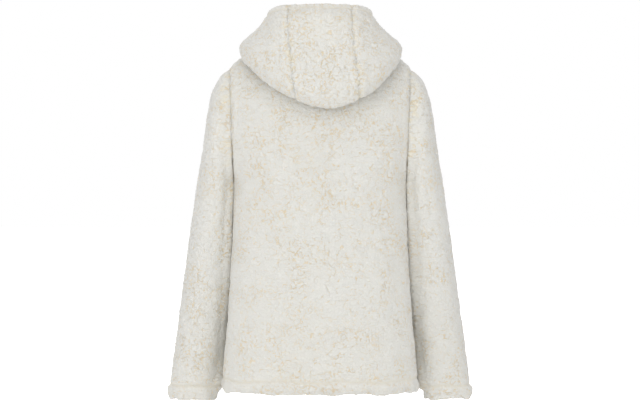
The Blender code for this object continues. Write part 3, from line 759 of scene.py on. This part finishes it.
# ---- Sleeves ----
# The same fleece, each sleeve cut in one piece, closed by a seam under the arm and set into its
# armhole. It hangs against the body, pile on pile. The cuff is turned up inside and topstitched.
CUTS |= {
    "sleeve_left": (0.37, 0.66, 0.178, "back", "front_left"),
    "sleeve_right": (0.37, 0.66, 0.178, "back", "front_right"),
}
FOLDS |= {
    "sleeve_left": (
        (0.215, 0.01, -0.30, 0.245, -0.02, -0.34, 0.009, 0.0014),
        (0.205, 0.00, -0.37, 0.250, -0.02, -0.40, 0.010, 0.0016),
        (0.200, -0.06, -0.36, 0.240, -0.07, -0.38, 0.010, 0.0018),
        (0.215, 0.00, -0.50, 0.262, -0.01, -0.53, 0.009, 0.0013),
    ),
    "sleeve_right": (
        (-0.210, 0.01, -0.27, -0.240, -0.01, -0.31, 0.009, 0.0014),
        (-0.215, 0.00, -0.33, -0.250, -0.02, -0.35, 0.009, 0.0018),
        (-0.205, -0.06, -0.38, -0.245, -0.07, -0.41, 0.010, 0.0016),
        (-0.225, 0.00, -0.47, -0.268, -0.01, -0.49, 0.009, 0.0014),
    ),
}
TOUCHING, TOUCHES_OVER = 0.016, 0.006  # a gap this wide or less is closed by the two piles
LEANS_FROM = -0.13  # the height below which a sleeve's pile leans on the body's
TUCKED, TUCKS_MORE_FROM = 0.0030, -0.115  # how far a sleeve's sewn edge presses into the body's
TUCK_WIDTH = 0.010
COMES_ON = 0.03  # how far down either one comes on
ARM_MIDDLE = (0.24, -0.03)
CUFF_DEEP, CUFF_WAVE = 0.028, 0.001
CUFF_REACH = 0.06  # the cuff's stitches are no higher than this above its edge

shell_corners, shell_faces = [], []
for node in SHELL:
    shell_faces += [[v + len(shell_corners) for v in face] for face in faces_of(forms[node].data)]
    shell_corners += list(points_of(forms[node].data))
shell_tree = surface_tree(shell_corners, shell_faces)

cuff_rows = []
for node in ("sleeve_left", "sleeve_right"):
    cloth = fine_cloth(node)
    cloth.seam(depth=0.0042, width=0.0120, ridge=0.0)
    cloth.crease(FOLDS[node])
    inwards = Vector((-math.copysign(1, cloth.x[0]), 0, 0))
    tuck = TUCKED * (1 + np.clip((TUCKS_MORE_FROM - cloth.z) / COMES_ON, 0, 1))
    cloth.points[:, 0] += inwards.x * tuck * bell(cloth.to_seam, TUCK_WIDTH)
    # On a sleeve the painted warm seam shade and the denser pile reach twice as far, into the
    # valley beside the body.
    cloth.seamed = np.clip(1 - cloth.to_seam / (2 * WARM_SEAM), 0, 1)
    lean = np.zeros(len(cloth.points))
    below = np.clip((LEANS_FROM - cloth.z) / COMES_ON, 0, 1)
    faces_body = (cloth.side == RIGHT) & (cloth.out[:, 0] * inwards.x > 0.2)
    for n in np.flatnonzero((below > 0) & faces_body):
        gap = shell_tree.ray_cast(cloth.points[n], inwards, TOUCHING)[3]
        if gap is not None:
            lean[n] = below[n] * gap * min(1, (TOUCHING - gap) / TOUCHES_OVER)
    lean = relaxed(lean[:, None], edges_of(cloth.piece.data), rounds=10)[:, 0]
    cloth.points[:, 0] += inwards.x * lean
    around = np.arctan2(cloth.y - ARM_MIDDLE[1], np.abs(cloth.x) - ARM_MIDDLE[0])
    above = cloth.to_free - CUFF_DEEP - CUFF_WAVE * np.sin(around * 5)
    cloth.pile = np.where(above < 0, 1.0, cloth.pile)
    cloth.lumpy = np.clip(-above / TURNED_ROLL, 0, 1)
    cloth.topstitch(above)
    cloth.finish(dense=0.1)
    cuff_rows.append(cloth.row(above, cloth.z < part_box(node)[0].z + CUFF_REACH))
thread_row(cuff_rows, "cuff_stitches")

# ---- Hood ----
# The same fleece in three panels: a middle one from the face edge over the head to the neck, and
# one for each side. It is sewn to the neckline and lies down the back. The face edge is turned in
# and topstitched.
CUTS |= {
    "hood_middle": (0.14, 0.40, 0.048, "back"),
    "hood_left": (0.26, 0.30, 0.051, "back"),
    "hood_right": (0.26, 0.30, 0.051, "back"),
}
FOLDS |= {
    "hood_middle": (),
    "hood_left": ((0.075, 0.08, 0.03, 0.115, 0.06, 0.00, 0.010, 0.0014),),
    "hood_right": ((-0.080, 0.08, 0.02, -0.118, 0.06, -0.015, 0.010, 0.0014),),
}
FOOT_REACH, FOOT_WIDTH = 0.020, 0.010  # how far from its foot the hood is drawn to the neckline
NECK_REACH = 0.012  # the furthest that the neckline is looked for
FACE_EDGE_DEEP = 0.014
HOOD_ALLOWANCE = 0.003  # the same as SEAM_ALLOWANCE, in the hood

shell_seams = tree_of(np.concatenate([borders[node][0] for node in SHELL]))


def sewn_to_neck(cloth):
    """Draws the hood's foot on to the neckline, where the two are sewn together."""
    seam = borders[cloth.node][0]
    foot = tree_of([point for point in seam if shell_seams.find(point)[2] < NECK_GAP])
    move = np.zeros((len(cloth.points), 3))
    for n in np.flatnonzero(cloth.to_seam < FOOT_REACH):
        share = bell(foot.find(cloth.rest[n])[2], FOOT_WIDTH)
        neckline = None
        if share > 0.02:
            neckline = shell_tree.find_nearest(cloth.points[n], NECK_REACH)[0]
        if neckline is not None:
            move[n] = (np.array(neckline) - cloth.points[n]) * share * 1.1
    cloth.points += relaxed(move, edges_of(cloth.piece.data), rounds=3)


hood_rows = []
for node in ("hood_middle", "hood_left", "hood_right"):
    cloth = fine_cloth(node)
    sewn_to_neck(cloth)
    cloth.seam()
    cloth.crease(FOLDS[node])
    above = cloth.to_free - FACE_EDGE_DEEP
    clear = cloth.to_seam > HOOD_ALLOWANCE
    cloth.pile = np.where((above < 0) & clear, 1.0, cloth.pile)
    cloth.topstitch(above, depth=0.0018)
    cloth.finish(dense=1.0 if node == "hood_middle" else 0.6)
    hood_rows.append(cloth.row(above, clear))
thread_row(hood_rows, "hood_edge_stitches")

for node in CLOTH:
    bpy.data.objects.remove(forms[node])

# ---- Zip ----
# A one-way moulded zip: two woven tapes sewn behind the fronts' edges, each with a row of
# plastic teeth cast onto its edge, a metal slider with a pull tab, and a box at the foot.
TAPE_EDGE = 0.0034  # from the middle to a tape's edge


def prism(name, outline, thick, bevel, segments=1):
    """A flat part of an outline in X and Z, as thick as that along Y, with its edges softened."""
    deselect()
    bpy.ops.mesh.primitive_circle_add(vertices=len(outline), fill_type="NGON")
    part = bpy.context.object
    part.name = part.data.name = name
    flat = np.array([(x, -thick / 2, z) for x, z in outline], np.float32)
    part.data.vertices.foreach_set("co", flat.ravel())
    bpy.ops.object.mode_set(mode="EDIT")
    bpy.ops.mesh.select_all(action="SELECT")
    bpy.ops.mesh.extrude_region_move(TRANSFORM_OT_translate={"value": (0, thick, 0)})
    bpy.ops.mesh.select_all(action="SELECT")
    bpy.ops.mesh.normals_make_consistent(inside=False)
    bpy.ops.object.mode_set(mode="OBJECT")
    apply_modifier(part, "BEVEL", width=bevel, segments=segments, limit_method="ANGLE")
    return part


def rounded(width, height, radius, steps=4, middle=(0, 0)):
    """The outline of a rounded rectangle."""
    turns = np.linspace(0, math.pi / 2, steps)
    corners = ((1, 1, 0), (-1, 1, 1), (-1, -1, 2), (1, -1, 3))
    outline = []
    for across, up, quarter in corners:
        x = middle[0] + across * (width / 2 - radius)
        z = middle[1] + up * (height / 2 - radius)
        for turn in turns + quarter * math.pi / 2:
            outline.append((x + radius * math.cos(turn), z + radius * math.sin(turn)))
    return outline


def zip_line():
    """Points down the zip's middle, from the neckline to the hem."""
    tape = merged_copy("zip_tape_left", "line")
    points = points_of(tape.data)
    bpy.data.objects.remove(tape)
    edge = points[points[:, 0] < TAPE_EDGE + 0.0004]
    edge = edge[np.argsort(-edge[:, 2])] * (0, 1, 1)
    return (edge[::2] + edge[1::2]) / 2


LINE = zip_line()
DOWN = np.concatenate([[0], np.cumsum(np.linalg.norm(np.diff(LINE, axis=0), axis=1))])


def at_zip(length):
    """A place at a length down the zip: X across it, Y into the jacket and Z up the line."""
    above, at, below = (
        Vector(np.array([np.interp(length + step, DOWN, LINE[:, axis]) for axis in range(3)]))
        for step in (-0.0015, 0, 0.0015)
    )
    up = (above - below).normalized()
    across = Vector((1, 0, 0))
    turn = Matrix((across, up.cross(across), up)).transposed().to_4x4()
    return Matrix.Translation(at) @ turn


def joined(name, parts):
    """Makes several parts one."""
    deselect()
    for part in parts:
        part.select_set(True)
    bpy.context.view_layer.objects.active = parts[0]
    bpy.ops.object.join()
    parts[0].name = parts[0].data.name = name
    return parts[0]


def cut(part, tool):
    """Cuts a tool's shape out of a part. The tool goes."""
    apply_modifier(part, "BOOLEAN", operation="DIFFERENCE", object=tool, solver="EXACT")
    bpy.data.objects.remove(tool)


def dress(part, material, body):
    """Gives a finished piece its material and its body."""
    part.data.materials.clear()
    part.data.materials.append(material)
    choose(part)
    bpy.ops.object.shade_smooth_by_angle(angle=math.radians(35))
    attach(part, body)


def tape_material():
    """Herringbone twill in cream polyester."""
    material, graph, shader = new_material("zip_tape")
    place = object_place(graph)
    across, into, up = graph.add("ShaderNodeSeparateXYZ", None, place)
    rib = graph.math("PINGPONG", across, 0.0013)
    twill = graph.math("SINE", (up + rib) * (2 * math.pi / 0.0007))
    thread = graph.noise(place, 0.0006)[0]
    shade = graph.step(twill + thread, -0.6, 1.4)
    # The darker colour between the ribs is painted shade in the weave's grooves.
    between, ribs = (0.60, 0.585, 0.54), (0.73, 0.715, 0.67)
    graph.put(shader.inputs["Base Color"], graph.mix(shade, between, ribs))
    height = (twill + thread) * 0.00006
    bump = graph.add("ShaderNodeBump", None, Strength=0.7, Distance=1.0, Height=height)[0]
    graph.put(shader.inputs["Normal"], bump)
    shader.inputs["Roughness"].default_value = 0.85
    shader.inputs["Sheen Weight"].default_value = 0.1
    return material


def hard_material(name, dark, light, metallic, roughness, grain):
    """A hard finish: plastic or metal, a little uneven in tone, polish and surface."""
    material, graph, shader = new_material(name)
    place = object_place(graph)
    tone = graph.noise(place, 0.004, 2.0)[0]
    fine = graph.noise(place * (1, 1, 0.15), grain, 2.0)[0]
    polish = graph.step(fine, 0.2, 0.8, roughness - 0.06, roughness + 0.08)
    graph.put(shader.inputs["Base Color"], graph.mix(graph.step(tone, 0.3, 0.7), dark, light))
    graph.put(shader.inputs["Roughness"], polish)
    bump = graph.add("ShaderNodeBump", None, Strength=0.4, Distance=1.0, Height=fine * 0.00003)[0]
    graph.put(shader.inputs["Normal"], bump)
    shader.inputs["Metallic"].default_value = metallic
    return material


TAPE = tape_material()
PLASTIC = hard_material(
    "moulded_plastic", (0.66, 0.645, 0.59), (0.72, 0.705, 0.65), 0.0, 0.38, 0.0005
)
METAL = hard_material("nickel_plate", (0.52, 0.51, 0.49), (0.62, 0.61, 0.59), 1.0, 0.26, 0.0004)

for side in ("left", "right"):
    tape = merged_copy(f"zip_tape_{side}", f"zip_tape_{side}_woven")
    apply_modifier(tape, "BEVEL", width=0.00025, segments=2, limit_method="ANGLE")
    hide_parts(f"zip_tape_{side}")
    dress(tape, TAPE, "jacket")

# Teeth from both tapes take turns below the slider. Above it four pairs stand apart, under a
# stop on each tape.
TOOTH_STEP, TOOTH_THICK = 0.0030, 0.0026
TEETH_FROM, TEETH_TO_FOOT = 0.0285, 0.0102
OPEN_PAIRS, OPEN_FROM, OPEN_ASIDE = 4, 0.0046, 0.0024
STOP_AT, STOP_ASIDE = 0.0022, 0.0042
TOOTH = (  # half of its outline: across and up the zip
    *((-0.0030, 0.00095), (-0.0012, 0.00095), (-0.0006, 0.00050)),
    *((0.0002, 0.00050), (0.0006, 0.00085), (0.0012, 0.00060)),
)
outline = [*TOOTH, *((x, -z) for x, z in reversed(TOOTH))][::-1]
half_turn = Matrix.Rotation(math.pi, 4, "Z")
places = []
count = int((DOWN[-1] - TEETH_TO_FOOT - TEETH_FROM) / (TOOTH_STEP / 2))
for n in range(count):
    places.append(at_zip(TEETH_FROM + n * TOOTH_STEP / 2) @ (half_turn if n % 2 else Matrix()))
for n in range(OPEN_PAIRS):
    for side in (0, 1):
        aside = Matrix.Translation((OPEN_ASIDE if side else -OPEN_ASIDE, 0, 0))
        place = at_zip(OPEN_FROM + (n + side / 2) * TOOTH_STEP) @ aside
        places.append(place @ (half_turn if side else Matrix()))
teeth = repeated("zip_teeth", prism("tooth", outline, TOOTH_THICK, 0.00018), places)
stops = [prism("stop", rounded(0.0028, 0.0030, 0.0006), 0.0028, 0.0003) for _ in range(2)]
for side, stop in zip((-1, 1), stops):
    stop.data.transform(at_zip(STOP_AT) @ Matrix.Translation((side * STOP_ASIDE, 0, 0)))
teeth = joined("zip_teeth", [teeth, *stops])
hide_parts("zip_chain")
dress(teeth, PLASTIC, "jacket")

# A groove down the box shows where the pin goes in.
BOX_WIDE, BOX_HIGH, BOX_ABOVE_FOOT = 0.0060, 0.0080, 0.0008
box = prism("zip_box_shell", rounded(BOX_WIDE, BOX_HIGH, 0.0009), 0.0036, 0.0004, 2)
cut(box, prism("groove", rounded(0.0005, 0.0062, 0.0002, middle=(0.0004, 0.0016)), 0.0044, 0.0001))
box.data.transform(at_zip(DOWN[-1] - BOX_ABOVE_FOOT - BOX_HIGH / 2))
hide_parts("zip_box")
dress(box, METAL, "jacket")

# The slider: two plates held apart by a post between the open teeth, a lip on each side of both,
# and a bail on the front plate.
SLIDER_AT = 0.0210  # down the front from the neckline
PLATE = ((0.0041, 0.0060), (0.0047, 0.0052), (0.0047, 0.0012), (0.0034, -0.0052), (0.0026, -0.0060))
plate = [*((-x, z) for x, z in PLATE), *reversed(PLATE)]
FRONT_OUT, REAR_OUT = 0.0024, 0.0022
front_plate = prism("slider", plate, 0.0016, 0.0004, 2)
front_plate.data.transform(Matrix.Translation((0, -FRONT_OUT, 0)))
rear_plate = prism("rear", plate, 0.0012, 0.0003, 2)
rear_plate.data.transform(Matrix.Translation((0, REAR_OUT, 0)))
post = prism("post", rounded(0.0036, 0.0042, 0.0018), 0.0044, 0.0001)
post.data.transform(Matrix.Translation((0, 0, 0.0030)))
lips = []
for side in (-1, 1):
    for out, depth in ((-0.00145, 0.0011), (0.00150, 0.0010)):
        lip = prism("lip", rounded(0.0008, 0.0062, 0.0003), depth, 0.00015)
        lean = Matrix.Rotation(side * -0.10, 4, "Y")
        lip.data.transform(Matrix.Translation((side * 0.0040, out, -0.0014)) @ lean)
        lips.append(lip)
BAIL = ((-0.0003, 0.0040), (0.0030, 0.0040), (0.0042, 0.0028))
BAIL_INSIDE = ((-0.0003, -0.0026), (0.0024, -0.0026), (0.0030, -0.0020))
outline = []
for half in (BAIL, BAIL_INSIDE):
    outline += [*half, *((x, -z) for x, z in reversed(half))]
bail = prism("bail", outline, 0.0022, 0.0003, 2)
forwards = Matrix.Rotation(-math.pi / 2, 4, "Z")
bail.data.transform(Matrix.Translation((0, -FRONT_OUT - 0.0008, 0)) @ forwards)
slider = joined("zip_slider_body", [front_plate, rear_plate, post, bail, *lips])
slider.data.transform(at_zip(SLIDER_AT))
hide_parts("zip_slider")
dress(slider, METAL, "jacket")

# The tab hangs from the bail by the bar above its eye, and has a sunk panel on both faces.
TAB_THICK = 0.0014
pull = prism("zip_pull_tab", rounded(0.0075, 0.0300, 0.0020, 6, (0, -0.0142)), TAB_THICK, 0.0003, 2)
cut(pull, prism("eye", rounded(0.0040, 0.0062, 0.0012, 4, (0, -0.0039)), 0.003, 0.0001))
for face in (-1, 1):
    panel = prism("panel", rounded(0.0046, 0.0165, 0.0012, 4, (0, -0.0185)), 0.0006, 0.0001)
    panel.data.transform(Matrix.Translation((0, face * TAB_THICK / 2, 0)))
    cut(pull, panel)
pull.data.transform(at_zip(SLIDER_AT) @ Matrix.Translation((0, -0.0046, -0.0013)))
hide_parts("zip_pull")
dress(pull, METAL, "zip_pull")

# ---- Studio ----
# A pale floor with a glow of its own, a white surround, and broad soft lights. The floor and the
# surround look white and give off less light than that, so the cloth keeps its shading.
FLOOR_HEIGHT = -0.76
bpy.ops.mesh.primitive_plane_add(size=60, location=(0, 0, 0))
floor = bpy.context.object
floor.name = "floor"
floor.data.transform(Matrix.Translation((0, 0, FLOOR_HEIGHT)))
paint, lit, floor_shader = new_material("studio_floor")
floor_shader.inputs["Base Color"].default_value = (0.85, 0.85, 0.85, 1)
floor_shader.inputs["Roughness"].default_value = 0.9
floor_shader.inputs["Emission Strength"].default_value = 0.8
camera_sees = lit.add("ShaderNodeLightPath")[0]
glow = lit.mix(camera_sees, (0.25, 0.25, 0.25), (1.0, 1.0, 1.0))
lit.put(floor_shader.inputs["Emission Color"], glow)
floor.data.materials.append(paint)
world = bpy.data.worlds.new("studio")
bpy.context.scene.world = world
world.use_nodes = True
surround = Graph(world.node_tree)
seen = surround.add("ShaderNodeLightPath")[0]
background = world.node_tree.nodes["Background"]
background.inputs["Color"].default_value = (1, 1, 1, 1)
GIVES = 0.60  # what the surround gives off, where 1 is the white that it looks
surround.put(background.inputs["Strength"], GIVES + seen * (1 - GIVES))
MIDDLE = (0, 0, -0.3)
LIGHTS = (  # place, size and power: the key, the fill, from above, and from the far side
    ((1.4, 4.3, 0.5), 3.2, 52),
    ((-1.9, 4.0, 0.4), 2.5, 14),
    ((0.0, 2.2, 2.8), 3.0, 26),
    ((0.6, -3.8, 1.0), 3.2, 72),
)
for place, size, power in LIGHTS:
    light = bpy.data.lights.new("soft_box", "AREA")
    light.size, light.energy = size, power
    lamp = bpy.data.objects.new("soft_box", light)
    bpy.context.scene.collection.objects.link(lamp)
    lamp.location = place
    lamp.rotation_euler = (Vector(MIDDLE) - Vector(place)).to_track_quat("-Z", "Y").to_euler()

# The camera stands square behind the jacket, level with its middle.
camera_data = bpy.data.cameras.new("camera")
camera = bpy.data.objects.new("camera", camera_data)
bpy.context.scene.collection.objects.link(camera)
camera.location = (0, 4.0, -0.3034)
camera.rotation_euler = (math.pi / 2, 0, math.pi)
camera_data.lens = 117.19
bpy.context.scene.camera = camera
bpy.context.scene.view_settings.view_transform = "Standard"
